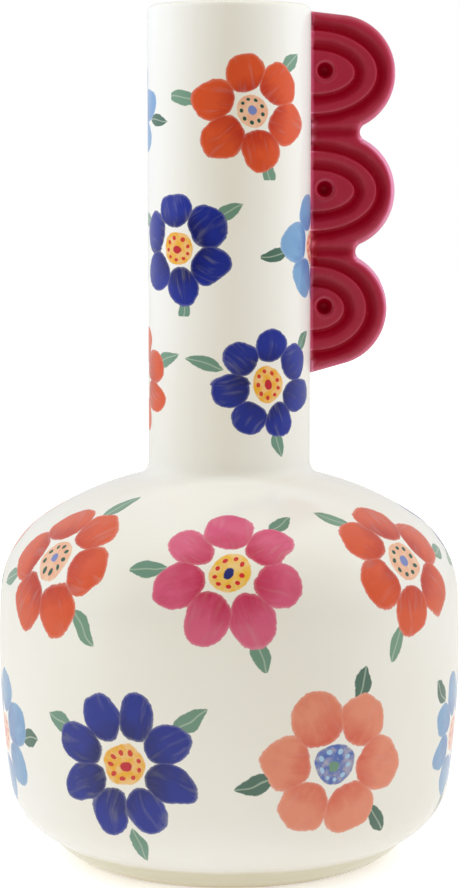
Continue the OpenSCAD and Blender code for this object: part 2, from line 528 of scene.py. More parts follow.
class RosettePainter:
    """Brushes one field of rosettes into a material's nodes."""

    def __init__(self, rows: RosetteField, style: RosetteStyle, sheet: FinishSheet, place: Flow) -> None:
        """Finds the nearest rosette and the shaded point's place on it.

        Args:
            rows: The rosettes.
            style: How they are drawn.
            sheet: The material's nodes.
            place: The shaded point.
        """
        self.rows = rows
        self.style = style
        self.sheet = sheet
        self.place = place
        across, up, self.which = self.local()
        size = self.figure([f.size / 2 for f in rows.rosettes]) * (2 * rows.radius)
        sway = sheet.parts(sheet.noise(place, style.wobble_waves, detail=1.0, output="Color"))
        across = across / size + (sway[0] - NOISE_MIDDLE) * (2 * style.wobble)
        up = up / size + (sway[1] - NOISE_MIDDLE) * (2 * style.wobble)
        self.reach = sheet.distance(across, up)
        self.angle = sheet.math("ARCTAN2", up, across)
        self.turn = self.figure([f.turn for f in rows.rosettes])
        self.fray = sheet.noise(place, style.fray_waves) - NOISE_MIDDLE

    def local(self) -> tuple[Flow, Flow, Flow]:
        """Turns the shaded point back onto the nearest rosette.

        Returns:
            The place across and up the rosette, and the rosette's place in the list, 0 to 1.
        """
        sheet, rows = self.sheet, self.rows
        low, rise = rows.first, rows.step
        x, y, z = sheet.parts(self.place)
        row = ((z - low.height) / rise.height).rounded().within(0.0, rows.rows - 1.0)
        height, radius, slope, start = (row * b + a for a, b in zip(low, rise))
        sector = math.tau / rows.per_row
        number = ((sheet.math("ARCTAN2", y, x) - start) / sector).rounded()
        back = sheet.add("ShaderNodeVectorRotate", rotation_type="Z_AXIS")
        sheet.feed(back.inputs["Vector"], self.place)
        sheet.feed(back.inputs["Angle"], (number * sector + start) * -1.0)
        out, across, up = sheet.parts(Flow(sheet, back.outputs[0]))
        up = (up - height) * sheet.math("COSINE", slope) - (out - radius) * sheet.math("SINE", slope)
        per_row = float(rows.per_row)
        index = sheet.math("FLOORED_MODULO", number, per_row) + row * per_row
        return across, up, (index + 0.5) / float(rows.rows * rows.per_row)

    def pick(self, layer: Layer) -> Flow:
        """The colour of one layer for the rosette at hand.

        Args:
            layer: The layer of paint.

        Returns:
            The colour.
        """
        flowers = self.rows.rosettes
        stops = [(i / len(flowers), f.palette.colour(layer)) for i, f in enumerate(flowers)]
        return self.sheet.ramp(self.which, stops, steps=True)

    def figure(self, values: list[float]) -> Flow:
        """A number for the rosette at hand.

        Args:
            values: One number for each rosette, 0 to 1.

        Returns:
            The number.
        """
        stops = [(i / len(values), (v, v, v, 1.0)) for i, v in enumerate(values)]
        return self.sheet.ramp(self.which, stops, steps=True)

    def folded(self, count: Value, turn: Flow) -> tuple[Flow, Flow, Flow]:
        """Folds what lies round the rosette's middle into one of count equal sectors.

        Args:
            count: How many sectors there are.
            turn: Where the first one lies, in sectors.

        Returns:
            The distance along the sector's axis, the distance across it and the sector's number.
        """
        sheet = self.sheet
        sector = sheet.math("DIVIDE", math.tau, count)
        turns = self.angle / sector + turn
        number = turns.rounded()
        lean = (turns - number) * sector
        along = self.reach * sheet.math("COSINE", lean)
        across = self.reach * sheet.math("SINE", lean)
        return along, across, number

    def oval(self, along: Flow, across: Flow, middle: float, half: Value, width: Value) -> Flow:
        """Distance from the middle of an oval, 1 on its edge.

        Args:
            along: The distance along the oval's axis.
            across: The distance across it.
            middle: Where the oval's middle lies on the axis.
            half: Half its length.
            width: Half its width.

        Returns:
            The distance.
        """
        return self.sheet.distance((along - middle) / half, across / width)

    def leaves(self, under: Flow) -> Flow:
        """Brushes pointed leaves with a pale vein.

        Args:
            under: The colour under them.

        Returns:
            The colour with the leaves.
        """
        sheet, style = self.sheet, self.style
        along, aside, _ = self.folded(float(style.leaf_count), self.turn + style.leaf_turn)
        from_middle = (along - style.leaf_middle) / style.leaf_half
        edge = from_middle * from_middle + abs(aside) / style.leaf_width + self.fray * style.leaf_fray
        vein = sheet.fade(abs(aside), *style.vein_edge, 0.0, style.vein_cover)
        green = sheet.mix(vein, self.pick(Layer.LEAF), style.vein)
        return sheet.mix(sheet.fade(edge, *style.leaf_edge, 0.0, style.leaf_cover), under, green)

    def petals(self, under: Flow, ground: Flow) -> Flow:
        """Brushes the petals: darker at their roots, streaked along, thin in places and at their edges.

        Args:
            under: The colour under them.
            ground: The glaze that shows through where the paint is thin.

        Returns:
            The colour with the petals.
        """
        sheet, style = self.sheet, self.style
        most = float(style.most_petals)
        count = (self.figure([f.petals / most for f in self.rows.rosettes]) * most).rounded()
        along, aside, number = self.folded(count, self.turn)
        own = sheet.add("ShaderNodeTexWhiteNoise", noise_dimensions="2D")
        sheet.feed(own.inputs["Vector"], sheet.vector(number, self.which, 0.0))
        luck = Flow(sheet, own.outputs["Value"]) - NOISE_MIDDLE
        width = sheet.math("TANGENT", math.pi / count) * style.petal_width
        half = luck * style.petal_luck + style.petal_half
        edge = self.oval(along, aside, style.petal_middle, half, width) + self.fray * style.petal_fray
        apart = number * style.petal_apart + self.which * style.rosette_apart
        strand = sheet.vector(aside * style.streak_across, along * style.streak_along, apart)
        streak = sheet.noise(strand, 1.0, detail=1.5)
        wash = sheet.noise(self.place, style.wash_waves) - NOISE_MIDDLE
        shade = sheet.fade(along, *style.root_run, 0.0, style.root_shade)
        shade = shade + (streak - NOISE_MIDDLE) * style.streak_shade
        shade = shade + wash * style.wash_shade + luck * style.luck_shade
        paint = sheet.mix(shade.within(0.0, 1.0), self.pick(Layer.PETAL), self.pick(Layer.ROOT))
        thin = sheet.fade(streak + wash * style.thin_wash, *style.thin_run, 0.0, style.thin_share)
        paint = sheet.mix(thin, paint, ground)
        paint = sheet.mix(sheet.fade(edge, *style.edge_run, 0.0, style.edge_share), paint, ground)
        return sheet.mix(sheet.fade(edge, *style.petal_edge), under, paint)

    def disc(self, under: Flow, ground: Flow) -> Flow:
        """Brushes the mottled disc with a bare ring round it, its dots and its core.

        Args:
            under: The colour under it.
            ground: The glaze that shows in the ring.

        Returns:
            The colour with the disc.
        """
        sheet, style = self.sheet, self.style
        rim = self.reach + self.fray * style.disc_fray
        mottle = sheet.noise(self.place, style.mottle_waves, detail=3.0)
        mottle = sheet.fade(mottle, *style.mottle_run, 0.0, style.mottle_share)
        disc = sheet.mix(mottle, self.pick(Layer.DISC), style.disc_pale)
        edge = style.disc_edge
        gap = sheet.fade(rim, edge + style.disc_gap[0], edge + style.disc_gap[1], 0.0, style.disc_gap_cover)
        colour = sheet.mix(gap, under, ground)
        colour = sheet.mix(sheet.fade(rim, edge, edge - style.soft_edge), colour, disc)
        along, aside, _ = self.folded(float(style.dot_count), self.turn)
        dot = self.oval(along, aside, style.dot_ring, style.dot_size, style.dot_size)
        dot = sheet.fade(dot + self.fray * style.dot_fray, *style.dot_edge)
        colour = sheet.mix(dot, colour, self.pick(Layer.DOTS))
        core = sheet.fade(rim, style.core_edge, style.core_edge - style.soft_edge)
        return sheet.mix(core, colour, self.pick(Layer.CORE))


@dataclass(frozen=True)
class PaintedGlaze(IvoryGlaze):
    """The ivory glaze with rows of rosettes brushed under it."""

    name: str = "painted_glaze"
    rows: RosetteField | None = None
    style: RosetteStyle = RosetteStyle()

    def colour(self, sheet: FinishSheet, place: Flow) -> Flow:
        """The colour that shows: the rosettes over the bare glaze, from the leaves up to the core.

        Args:
            sheet: The material's nodes.
            place: The shaded point.

        Returns:
            The colour.
        """
        ground = self.ground(sheet, place)
        painter = RosettePainter(self.rows, self.style, sheet, place)
        return painter.disc(painter.petals(painter.leaves(ground), ground), ground)


@dataclass(frozen=True)
class RaspberryGlaze:
    """Coloured glaze that pools dark in the grooves and breaks pink over the edges, with painted highlights
    along the ridges, the rim and the root.
    """

    name: str = "raspberry_glaze"
    # The mesh's value holds both the glaze's run and the painted highlights.
    attribute: str = "glaze_run_and_highlights"
    pooled: Colour = srgb(146, 0, 28)
    deep: Colour = srgb(152, 16, 42)
    face: Colour = srgb(172, 42, 66)
    thin: Colour = srgb(208, 84, 120)
    # Pale glaze where it thins over edges, also the colour of the painted highlights.
    broken_and_highlight: Colour = srgb(236, 146, 182)
    stops: tuple[float, ...] = (0.16, 0.36, 0.54, 0.82, 1.0)
    cloud_waves: float = 160.0
    cloud_share: float = 0.16
    fleck_waves: float = 900.0
    fleck_run: Point = (0.66, 0.8)
    fleck_share: float = 0.2
    rough: Point = (0.10, 0.20)
    rough_waves: float = 120.0
    shine_run: Point = (0.2, 0.7)
    shine: Point = (0.12, 0.5)
    ripple_waves: float = 240.0
    ripple_depth: float = 0.0004
    ripple_strength: float = 0.12
    ior: float = 1.45

    def build(self) -> bpy.types.Material:
        """Makes the material.

        Returns:
            The material, which reads from the mesh how the glaze has run and where highlights are painted.
        """
        sheet = FinishSheet(self.name)
        place = sheet.place()
        run = Flow(sheet, sheet.add("ShaderNodeAttribute", attribute_name=self.attribute).outputs["Fac"])
        run = run + (sheet.noise(place, self.cloud_waves, detail=3.0) - NOISE_MIDDLE) * self.cloud_share
        colours = (self.pooled, self.deep, self.face, self.thin, self.broken_and_highlight)
        # The palest colours also show the painted highlights along the ridges, the rim and the root.
        colour = sheet.ramp(run, list(zip(self.stops, colours)))
        fleck = sheet.fade(sheet.noise(place, self.fleck_waves), *self.fleck_run, 0.0, self.fleck_share)
        sheet.set(Base_Color=sheet.mix(fleck, colour, self.thin))
        sheet.set(Roughness=sheet.fade(sheet.noise(place, self.rough_waves), *NOISE_RUN, *self.rough))
        sheet.set(IOR=self.ior, Specular_IOR_Level=sheet.fade(run, *self.shine_run, *self.shine))
        sheet.bump(sheet.noise(place, self.ripple_waves), self.ripple_depth, self.ripple_strength)
        return sheet.material


@dataclass(frozen=True)
class FootGlaze(IvoryGlaze):
    """The ivory glaze where it thins over buff clay under the heel, worn bare where the foot stands."""

    name: str = "foot_glaze"
    thin: Colour = srgb(236, 230, 206)
    buff: Colour = srgb(236, 219, 176)
    bare: Colour = srgb(206, 188, 152)
    thin_height: float = 0.0072
    full_height: float = 0.0094
    buff_height: float = 0.0032
    bare_height: float = 0.0003
    bare_fade: float = 0.0005
    edge_waves: float = 90.0
    edge_sway: float = 0.0016
    grain_waves: float = 1400.0
    grain_run: Point = (0.3, 0.5)
    grain_depth: float = 0.00025
    grain_strength: float = 0.3
    glazed_rough: float = 0.16
    bare_rough: float = 0.66
    glazed_grain: float = 0.12

    def build(self) -> bpy.types.Material:
        """Makes the material.

        Returns:
            The material.
        """
        sheet = FinishSheet(self.name)
        place = sheet.place()
        sway = sheet.noise(place, self.edge_waves, detail=3.0) - NOISE_MIDDLE
        height = sheet.parts(place)[2] + sway * self.edge_sway
        thin = sheet.fade(height, self.full_height, self.thin_height)
        colour = sheet.mix(thin, self.ground(sheet, place), self.thin)
        colour = sheet.mix(sheet.fade(height, self.buff_height, 0.0), colour, self.buff)
        dry = sheet.fade(height, self.bare_height + self.bare_fade, self.bare_height)
        grain = sheet.noise(place, self.grain_waves, detail=3.0)
        colour = sheet.mix(dry * sheet.fade(grain, *self.grain_run), colour, self.bare)
        sheet.set(Base_Color=colour, IOR=self.ior)
        sheet.set(Roughness=dry * (self.bare_rough - self.glazed_rough) + self.glazed_rough)
        relief = grain * (dry * (1.0 - self.glazed_grain) + self.glazed_grain)
        sheet.bump(relief, self.grain_depth, self.grain_strength)
        return sheet.material


@dataclass(frozen=True)
class BareSlip:
    """Dry matt slip, as it is left between two castings."""

    name: str = "slip"
    body: Colour = srgb(226, 220, 200)
    shade: Colour = srgb(204, 194, 168)
    grain_waves: float = 800.0
    grain_run: Point = (0.3, 0.7)
    grain_depth: float = 0.0003
    grain_strength: float = 0.4
    rough_run: Point = (0.2, 0.8)
    rough: Point = (0.7, 0.9)

    def build(self) -> bpy.types.Material:
        """Makes the material.

        Returns:
            The material.
        """
        sheet = FinishSheet(self.name)
        grain = sheet.noise(sheet.place(), self.grain_waves, detail=4.0)
        sheet.set(Base_Color=sheet.mix(sheet.fade(grain, *self.grain_run), self.body, self.shade))
        sheet.set(Roughness=sheet.fade(grain, *self.rough_run, *self.rough))
        sheet.bump(grain, self.grain_depth, self.grain_strength)
        return sheet.material


def offset(start: Point, length: float, turn: float) -> Point:
    """A point at a distance from another.

    Args:
        start: The other point.
        length: The distance.
        turn: The direction, in degrees up from the radius.

    Returns:
        The point.
    """
    angle = math.radians(turn)
    return (start[0] + length * math.cos(angle), start[1] + length * math.sin(angle))


def between(start: Point, end: Point, share: float) -> Point:
    """The point at a share of the way from one point to another."""
    return (start[0] + (end[0] - start[0]) * share, start[1] + (end[1] - start[1]) * share)


def heading(start: Point, end: Point) -> float:
    """The direction from one point to another, in degrees up from the radius."""
    return math.degrees(math.atan2(end[1] - start[1], end[0] - start[0]))


def circles_meet(a: Point, ra: float, b: Point, rb: float) -> Point:
    """Where two circles cross, on the left of the way from a to b.

    Args:
        a: The first circle's middle.
        ra: The first circle's radius.
        b: The second circle's middle.
        rb: The second circle's radius.

    Returns:
        The crossing.
    """
    span = math.dist(a, b)
    along = ((b[0] - a[0]) / span, (b[1] - a[1]) / span)
    x = (ra * ra - rb * rb + span * span) / (2 * span)
    y = math.sqrt(ra * ra - x * x)
    return (a[0] + along[0] * x - along[1] * y, a[1] + along[1] * x + along[0] * y)


@dataclass
class Contour:
    """A half section, as points at a radius and a height, to be turned about the axis."""

    step: float
    points: list[Point] = field(default_factory=list)
    coats: list[Coat] = field(default_factory=list)

    def add(self, points: list[Point], coat: Coat) -> "Contour":
        """Runs on through points.

        Args:
            points: Where it goes.
            coat: The finish of the stretch.

        Returns:
            The contour itself.
        """
        for point in points:
            if not self.points or math.dist(point, self.points[-1]) > TINY:
                self.points.append(point)
                self.coats.append(coat)
        return self

    def line(self, end: Point, coat: Coat) -> "Contour":
        """Runs on straight to a point, in steps.

        Args:
            end: The point.
            coat: The finish of the stretch.

        Returns:
            The contour itself.
        """
        start = self.points[-1]
        count = max(1, math.ceil(math.dist(start, end) / self.step))
        return self.add([between(start, end, i / count) for i in range(1, count + 1)], coat)

    def arc(self, centre: Point, radius: float, start: float, end: float, coat: Coat) -> "Contour":
        """Runs on round a circle.

        Args:
            centre: The circle's middle.
            radius: Its radius.
            start: The angle where the run starts, in degrees up from the radius.
            end: The angle where it ends.
            coat: The finish of the stretch.

        Returns:
            The contour itself.
        """
        span = end - start
        count = max(3, math.ceil(abs(math.radians(span)) * max(radius / self.step, 4.0)))
        return self.add([offset(centre, radius, start + span * i / count) for i in range(count + 1)], coat)

    def curve(self, corner: Point, end: Point, coat: Coat, count: int = 4) -> "Contour":
        """Runs on to a point in a curve that leans towards a corner.

        Args:
            corner: The corner.
            end: The point.
            coat: The finish of the stretch.
            count: How many steps it takes.

        Returns:
            The contour itself.
        """
        start = self.points[-1]
        for i in range(1, count + 1):
            share = i / count
            self.add([between(between(start, corner, share), between(corner, end, share), share)], coat)
        return self

    def rings(self, segments: int) -> tuple[list[Place], list[list[int]]]:
        """Turns each point into a ring of points, or into one where it lies on the axis.

        Args:
            segments: How many points a ring has.

        Returns:
            The points, and each ring as their numbers.
        """
        turns = [math.tau * i / segments for i in range(segments)]
        verts: list[Place] = []
        rows: list[list[int]] = []
        for radius, height in self.points:
            first = len(verts)
            if radius < TINY:
                rows.append([first] * segments)
                verts.append((0.0, 0.0, height))
            else:
                rows.append(list(range(first, first + segments)))
                verts.extend((radius * math.cos(a), radius * math.sin(a), height) for a in turns)
        return verts, rows

    def turned(self, name: str, segments: int, finishes: list[bpy.types.Material]) -> bpy.types.Object:
        """Turns the contour about the axis into a closed mesh, with its faces outward.

        Args:
            name: The piece's name.
            segments: How many steps go round.
            finishes: The materials, in the order of Coat.

        Returns:
            The new object, with its map for baking.
        """
        sides = list(zip(self.points, self.points[1:] + self.points[:1]))
        lengths = np.cumsum([0.0] + [math.dist(a, b) for a, b in sides])
        spread = lengths / lengths[-1]
        clockwise = sum(a[0] * b[1] - b[0] * a[1] for a, b in sides) < 0
        verts, rows = self.rings(segments)
        faces: list[tuple[int, ...]] = []
        places: list[Point] = []
        slots: list[int] = []
        for low, row in enumerate(rows):
            high = (low + 1) % len(rows)
            if row[0] == row[1] and rows[high][0] == rows[high][1]:
                continue
            for i in range(segments):
                j = (i + 1) % segments
                lower = [(row[i], i, low), (row[j], i + 1, low)]
                upper = [(rows[high][j], i + 1, low + 1), (rows[high][i], i, low + 1)]
                # Two corners that are one point of the axis are kept once.
                kept = list({corner[0]: corner for corner in reversed(lower + upper)}.values())
                if not clockwise:
                    kept.reverse()
                faces.append(tuple(corner[0] for corner in kept))
                places.extend((corner[1] / segments, float(spread[corner[2]])) for corner in kept)
                slots.append(self.coats[high].value)
        return finished_mesh(name, verts, faces, finishes, slots, places)


def finished_mesh(
    name: str,
    verts: list[Place],
    faces: list[tuple[int, ...]],
    finishes: list[bpy.types.Material],
    slots: list[int] | None = None,
    places: list[Point] | None = None,
) -> bpy.types.Object:
    """Makes a smooth-shaded object from points and faces.

    Args:
        name: The object's name.
        verts: The points.
        faces: The faces, as numbers of points.
        finishes: The materials.
        slots: Each face's material, or None where there is one.
        places: The map for baking, one place for each face corner, or None for no map.

    Returns:
        The object, linked into the scene.
    """
    mesh = bpy.data.meshes.new(name)
    mesh.from_pydata(verts, [], faces)
    for finish in finishes:
        mesh.materials.append(finish)
    mesh.polygons.foreach_set("use_smooth", [True] * len(faces))
    if slots is not None:
        mesh.polygons.foreach_set("material_index", slots)
    if places is not None:
        layer = mesh.uv_layers.new(name=BAKE_MAP)
        layer.data.foreach_set("uv", [value for place in places for value in place])
    mesh.validate()
    mesh.update()
    made = bpy.data.objects.new(name, mesh)
    bpy.context.scene.collection.objects.link(made)
    return made


def publish(piece: bpy.types.Object, node: str) -> None:
    """Puts a piece on the vase's body in place of its solid.

    Args:
        piece: The piece.
        node: The solid that it stands for.
    """
    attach(piece, BODY)
    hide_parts(node)
    LOG.info("%s: %d faces for %s", piece.name, len(piece.data.polygons), node)


@dataclass
class Belly:
    """The cast bulb: crown, shoulder, long side and heel, each run into the next, with an even wall."""

    widest: float
    widest_height: float = 0.076
    wall: float = 0.005
    crown_edge: Point = (0.0312, 0.136)
    crown_fall: float = 13.0
    crown_radius: float = 0.107
    crown_hole: float = 0.0274
    shoulder_radius: float = 0.0335
    side_radius: float = 0.345
    heel_radius: float = 0.025
    foot_edge: Point = (0.0635, 0.0083)
    base_hole: float = 0.0444
    section_step: float = 0.0025
    segments: int = 240
    rows: int = 2
    per_row: int = 7
    low_row_height: float = 0.047
    high_row_slope: float = 34.0
    rosette_radius: float = 0.0255
    flowers: tuple[Rosette, ...] = (
        Rosette(Palette.CORAL, 6, 0.10, 1.02),
        Rosette(Palette.SKY, 8, 0.55, 0.94),
        Rosette(Palette.EMBER, 5, 0.30, 1.00),
        Rosette(Palette.ROSE, 7, 0.80, 0.96),
        Rosette(Palette.COBALT, 6, 0.20, 1.00),
        Rosette(Palette.SKY, 7, 0.65, 0.98),
        Rosette(Palette.COBALT, 8, 0.40, 1.04),
        Rosette(Palette.ROSE, 7, 0.25, 1.00),
        Rosette(Palette.EMBER, 6, 0.65, 0.98),
        Rosette(Palette.COBALT, 8, 0.15, 1.00),
        Rosette(Palette.CORAL, 5, 0.45, 1.02),
        Rosette(Palette.SKY, 7, 0.70, 0.96),
        Rosette(Palette.CORAL, 6, 0.85, 0.98),
        Rosette(Palette.EMBER, 6, 0.05, 1.00),
    )
    crown: Point = field(init=False)
    side: Point = field(init=False)
    shoulder: Point = field(init=False)
    heel: Point = field(init=False)

    def __post_init__(self) -> None:
        """Finds the middles of the four arcs."""
        long, round_off = self.side_radius, self.shoulder_radius
        self.crown = offset(self.crown_edge, -self.crown_radius, 90.0 - self.crown_fall)
        self.side = (self.widest - long, self.widest_height)
        self.shoulder = circles_meet(self.side, long - round_off, self.crown, self.crown_radius - round_off)
        self.heel = circles_meet(self.side, long - self.heel_radius, self.foot_edge, self.heel_radius)

    def section(self) -> Contour:
        """Draws the wall's section.

        Returns:
            The contour, up the inside, over the crown and down the outside.
        """
        inside, outside = Coat.INSIDE, Coat.OUTSIDE
        top = heading(self.crown, self.shoulder)
        high = heading(self.side, self.shoulder)
        low = heading(self.side, self.heel)
        foot = heading(self.heel, self.foot_edge)
        wall = self.wall
        floor = self.foot_edge[1] + wall
        heel_inside, crown_inside = self.heel_radius - wall, self.crown_radius - wall
        heel_start = math.degrees(math.acos(min(1.0, (self.heel[1] - floor) / heel_inside))) - 90.0
        crown_end = math.degrees(math.acos((self.crown_hole - self.crown[0]) / crown_inside))
        section = Contour(self.section_step)
        section.add([(self.base_hole, self.foot_edge[1]), (self.base_hole, floor)], inside)
        section.arc(self.heel, heel_inside, heel_start, low, inside)
        section.arc(self.side, self.side_radius - wall, low, high, inside)
        section.arc(self.shoulder, self.shoulder_radius - wall, high, top, inside)
        section.arc(self.crown, crown_inside, top, crown_end, inside)
        section.line((self.crown_hole, self.crown_edge[1]), inside)
        section.line(self.crown_edge, outside)
        section.arc(self.crown, self.crown_radius, 90.0 - self.crown_fall, top, outside)
        section.arc(self.shoulder, self.shoulder_radius, top, high, outside)
        section.arc(self.side, self.side_radius, high, low, outside)
        return section.arc(self.heel, self.heel_radius, low, foot, outside)

    def rosettes(self, facing: float) -> RosetteField:
        """Plans two staggered rows of rosettes, one on the long side and one on the shoulder.

        Args:
            facing: The angle that the first rosette of the upper row faces, in radians.

        Returns:
            The rows.
        """
        rise = self.low_row_height - self.widest_height
        low_radius = self.side[0] + math.sqrt(self.side_radius**2 - rise**2)
        low_slope = math.asin(rise / self.side_radius)
        high_radius, high_height = offset(self.shoulder, self.shoulder_radius, self.high_row_slope)
        first = RowPlace(self.low_row_height, low_radius, low_slope, facing + math.pi / self.per_row)
        last = RowPlace(high_height, high_radius, math.radians(self.high_row_slope), facing)
        step = RowPlace(*(b - a for a, b in zip(first, last)))
        return RosetteField(self.rows, self.per_row, self.rosette_radius, first, step, self.flowers)

    def build(self, facing: float) -> None:
        """Makes, paints and publishes the bulb.

        Args:
            facing: The angle about the axis that faces the camera, in radians.
        """
        paint = PaintedGlaze(name="belly_paint", rows=self.rosettes(facing)).build()
        lining = IvoryGlaze(name="belly_inside").build()
        piece = self.section().turned("painted_belly", self.segments, [paint, lining])
        publish(piece, "belly_shell")


@dataclass
class Neck:
    """The straight neck with a round lip, run into the belly's crown by a soft fillet."""

    belly: Belly
    lip_height: float
    radius: float = 0.0286
    wall: float = 0.0046
    register_radius: float = 0.027
    register_height: float = 0.131
    seat_height: float = 0.1353
    fillet: float = 0.005
    lift: float = 0.00008
    dive: float = 4.0
    skirt: float = 0.0042
    skirt_steps: tuple[float, ...] = (0.3, 0.6, 0.94, 1.0)
    tuck: Point = (0.0002, 0.0004)
    section_step: float = 0.004
    segments: int = 180
    rows: int = 3
    per_row: int = 3
    low_row_height: float = 0.1695
    low_row_turn: float = 28.0
    row_rise: float = 0.0465
    row_turn: float = 54.0
    rosette_radius: float = 0.0200
    flowers: tuple[Rosette, ...] = (
        Rosette(Palette.COBALT, 7, 0.35, 1.00),
        Rosette(Palette.ROSE, 6, 0.10, 0.96),
        Rosette(Palette.EMBER, 8, 0.50, 1.00),
        Rosette(Palette.SKY, 6, 0.15, 1.00),
        Rosette(Palette.CORAL, 7, 0.60, 0.96),
        Rosette(Palette.COBALT, 6, 0.40, 1.00),
        Rosette(Palette.ROSE, 8, 0.70, 1.00),
        Rosette(Palette.SKY, 7, 0.75, 0.96),
        Rosette(Palette.EMBER, 6, 0.30, 1.02),
    )

    def section(self) -> Contour:
        """Draws the wall's section.

        Returns:
            The contour, up the bore, over the lip and down to a thin skirt of glaze on the crown.
        """
        inside, outside = Coat.INSIDE, Coat.OUTSIDE
        bore = self.radius - self.wall
        lip = self.wall / 2
        lip_middle = (bore + lip, self.lip_height - lip)
        edge = self.belly.crown_edge
        fall = math.radians(self.belly.crown_fall)
        corner = edge[1] + (edge[0] - self.radius) * math.tan(fall) + self.lift
        fillet_height = corner + self.fillet * math.tan((math.pi / 2 - fall) / 2)
        slope = self.belly.crown_fall + self.dive
        section = Contour(self.section_step)
        section.add([(self.register_radius, self.register_height), (bore, self.register_height)], inside)
        section.line((bore, lip_middle[1]), inside)
        section.arc(lip_middle, lip, 180.0, 90.0, inside)
        section.arc(lip_middle, lip, 90.0, 0.0, outside)
        section.line((self.radius, fillet_height), outside)
        section.arc((self.radius + self.fillet, fillet_height), self.fillet, 180.0, 270.0 - slope, outside)
        start = section.points[-1]
        section.add([offset(start, self.skirt * share, -slope) for share in self.skirt_steps], outside)
        hem = section.points[-1]
        section.add([(hem[0] - self.tuck[0], hem[1] - self.tuck[1]), (edge[0], self.seat_height)], inside)
        return section.line((self.register_radius, self.seat_height), inside)

    def rosettes(self, facing: float) -> RosetteField:
        """Plans rows of rosettes that wind up the neck.

        Args:
            facing: The angle that faces the camera, in radians.

        Returns:
            The rows.
        """
        first = RowPlace(self.low_row_height, self.radius, 0.0, facing + math.radians(self.low_row_turn))
        step = RowPlace(self.row_rise, 0.0, 0.0, math.radians(self.row_turn))
        return RosetteField(self.rows, self.per_row, self.rosette_radius, first, step, self.flowers)

    def build(self, facing: float) -> None:
        """Makes, paints and publishes the neck.

        Args:
            facing: The angle about the axis that faces the camera, in radians.
        """
        paint = PaintedGlaze(name="neck_paint", rows=self.rosettes(facing)).build()
        lining = IvoryGlaze(name="neck_inside").build()
        piece = self.section().turned("painted_neck", self.segments, [paint, lining])
        publish(piece, "neck_tube")


@dataclass
class Foot:
    """The base disc with its foot ring, its rounded side and the register inside the bulb."""

    belly: Belly
    top_radius: float
    top: float
    radius: float = 0.052
    height: float = 0.0078
    side_radius: float = 0.025
    ring: float = 0.007
    ring_bevel: float = 0.0003
    side_bevel: float = 0.0006
    side_bevel_turn: float = 0.7
    hollow: float = 0.004
    hollow_round: float = 0.0015
    register_radius: float = 0.044
    fillet: float = 0.006
    heel_fall: float = 23.4
    lap: float = 0.001
    hem_start: float = 0.8
    hem_lift: float = 0.0001
    lap_dive: float = 8.0
    tuck: Point = (0.001, 0.0006)
    seat_inset: float = 0.003
    seat_lift: float = 0.001
    section_step: float = 0.0025
    segments: int = 200

    def section(self) -> Contour:
        """Draws the section, with a fillet that laps a little way up the belly's heel.

        Returns:
            The contour, from the middle of the hollow out, up the side to the heel and back to the axis.
        """
        coat = Coat.OUTSIDE
        inner, soft, bevel = self.radius - self.ring, self.hollow_round, self.ring_bevel
        low, high = (self.radius, 0.0), (self.top_radius, self.height)
        heel = self.belly.foot_edge
        middle = circles_meet(low, self.side_radius, high, self.side_radius)
        corner = heading(middle, high)
        reach = self.fillet * math.tan(math.radians((90.0 + corner - self.heel_fall) / 2))
        side_start = heading(middle, low) + self.side_bevel_turn
        side_end = corner - math.degrees(reach / self.side_radius)
        section = Contour(self.section_step)
        section.add([(0.0, self.hollow)], coat)
        section.line((inner - soft, self.hollow), coat)
        section.arc((inner - soft, self.hollow - soft), soft, 90.0, 0.0, coat)
        section.line((inner, bevel), coat)
        section.line((inner + bevel, 0.0), coat)
        section.line((self.radius - self.side_bevel, 0.0), coat)
        section.arc(middle, self.side_radius, side_start, side_end, coat)
        end = offset(heel, reach, self.heel_fall)
        section.curve(heel, end, coat)
        dive = self.heel_fall + self.lap_dive
        hem = offset(end, self.lap, dive)
        seat = self.height + self.seat_lift
        section.add([offset(end, self.hem_start * self.lap, dive), (hem[0], hem[1] + self.hem_lift)], coat)
        section.add([(end[0] - self.tuck[0], end[1] + self.tuck[1]), (heel[0] - self.seat_inset, seat)], coat)
        section.line((self.register_radius, seat), coat)
        section.line((self.register_radius, self.top), coat)
        return section.line((0.0, self.top), coat)

    def build(self) -> None:
        """Makes, glazes and publishes the foot."""
        piece = self.section().turned("glazed_foot", self.segments, [FootGlaze().build()])
        publish(piece, "foot_base")


def oval_distance(x: np.ndarray, z: np.ndarray, reach: float, half: float) -> np.ndarray:
    """Distance outside an oval about the origin, less than 0 inside it, close enough near its edge.

    Args:
        x: First coordinates.
        z: Second coordinates.
        reach: The oval's half width.
        half: Its half height.

    Returns:
        The distances.
    """
    size = np.maximum(np.hypot(x / reach, z / half), TINY)
    steep = np.hypot(x / reach**2, z / half**2) / size
    return (size - 1.0) / np.maximum(steep, TINY)


def soft_step(value: np.ndarray, start: float, end: float | np.ndarray) -> np.ndarray:
    """A soft step from 0 to 1.

    Args:
        value: What is stepped.
        start: Where the step starts.
        end: Where it ends, which may be below the start.

    Returns:
        0 at the start and before it, 1 at the end and after it, with a soft run between.
    """
    share = np.clip((value - start) / (end - start), 0.0, 1.0)
    return share * share * (3 - 2 * share)


def polygon_distance(x: np.ndarray, z: np.ndarray, corners: list[Point]) -> np.ndarray:
    """Distance from a polygon, less than 0 inside it.

    Args:
        x: First coordinates.
        z: Second coordinates.
        corners: The polygon's corners, in order.

    Returns:
        The distances.
    """
    shape = np.broadcast(x, z).shape
    near = np.full(shape, np.inf)
    sign = np.ones(shape)
    for (ax, az), (bx, bz) in zip(corners, corners[-1:] + corners[:-1]):
        ex, ez = bx - ax, bz - az
        wx, wz = x - ax, z - az
        run = np.clip((wx * ex + wz * ez) / (ex * ex + ez * ez), 0.0, 1.0)
        near = np.minimum(near, (wx - ex * run) ** 2 + (wz - ez * run) ** 2)
        above, below, left = z >= az, z < bz, ex * wz > ez * wx
        sign = np.where((above & below & left) | (~above & ~below & ~left), -sign, sign)
    return sign * np.sqrt(near)


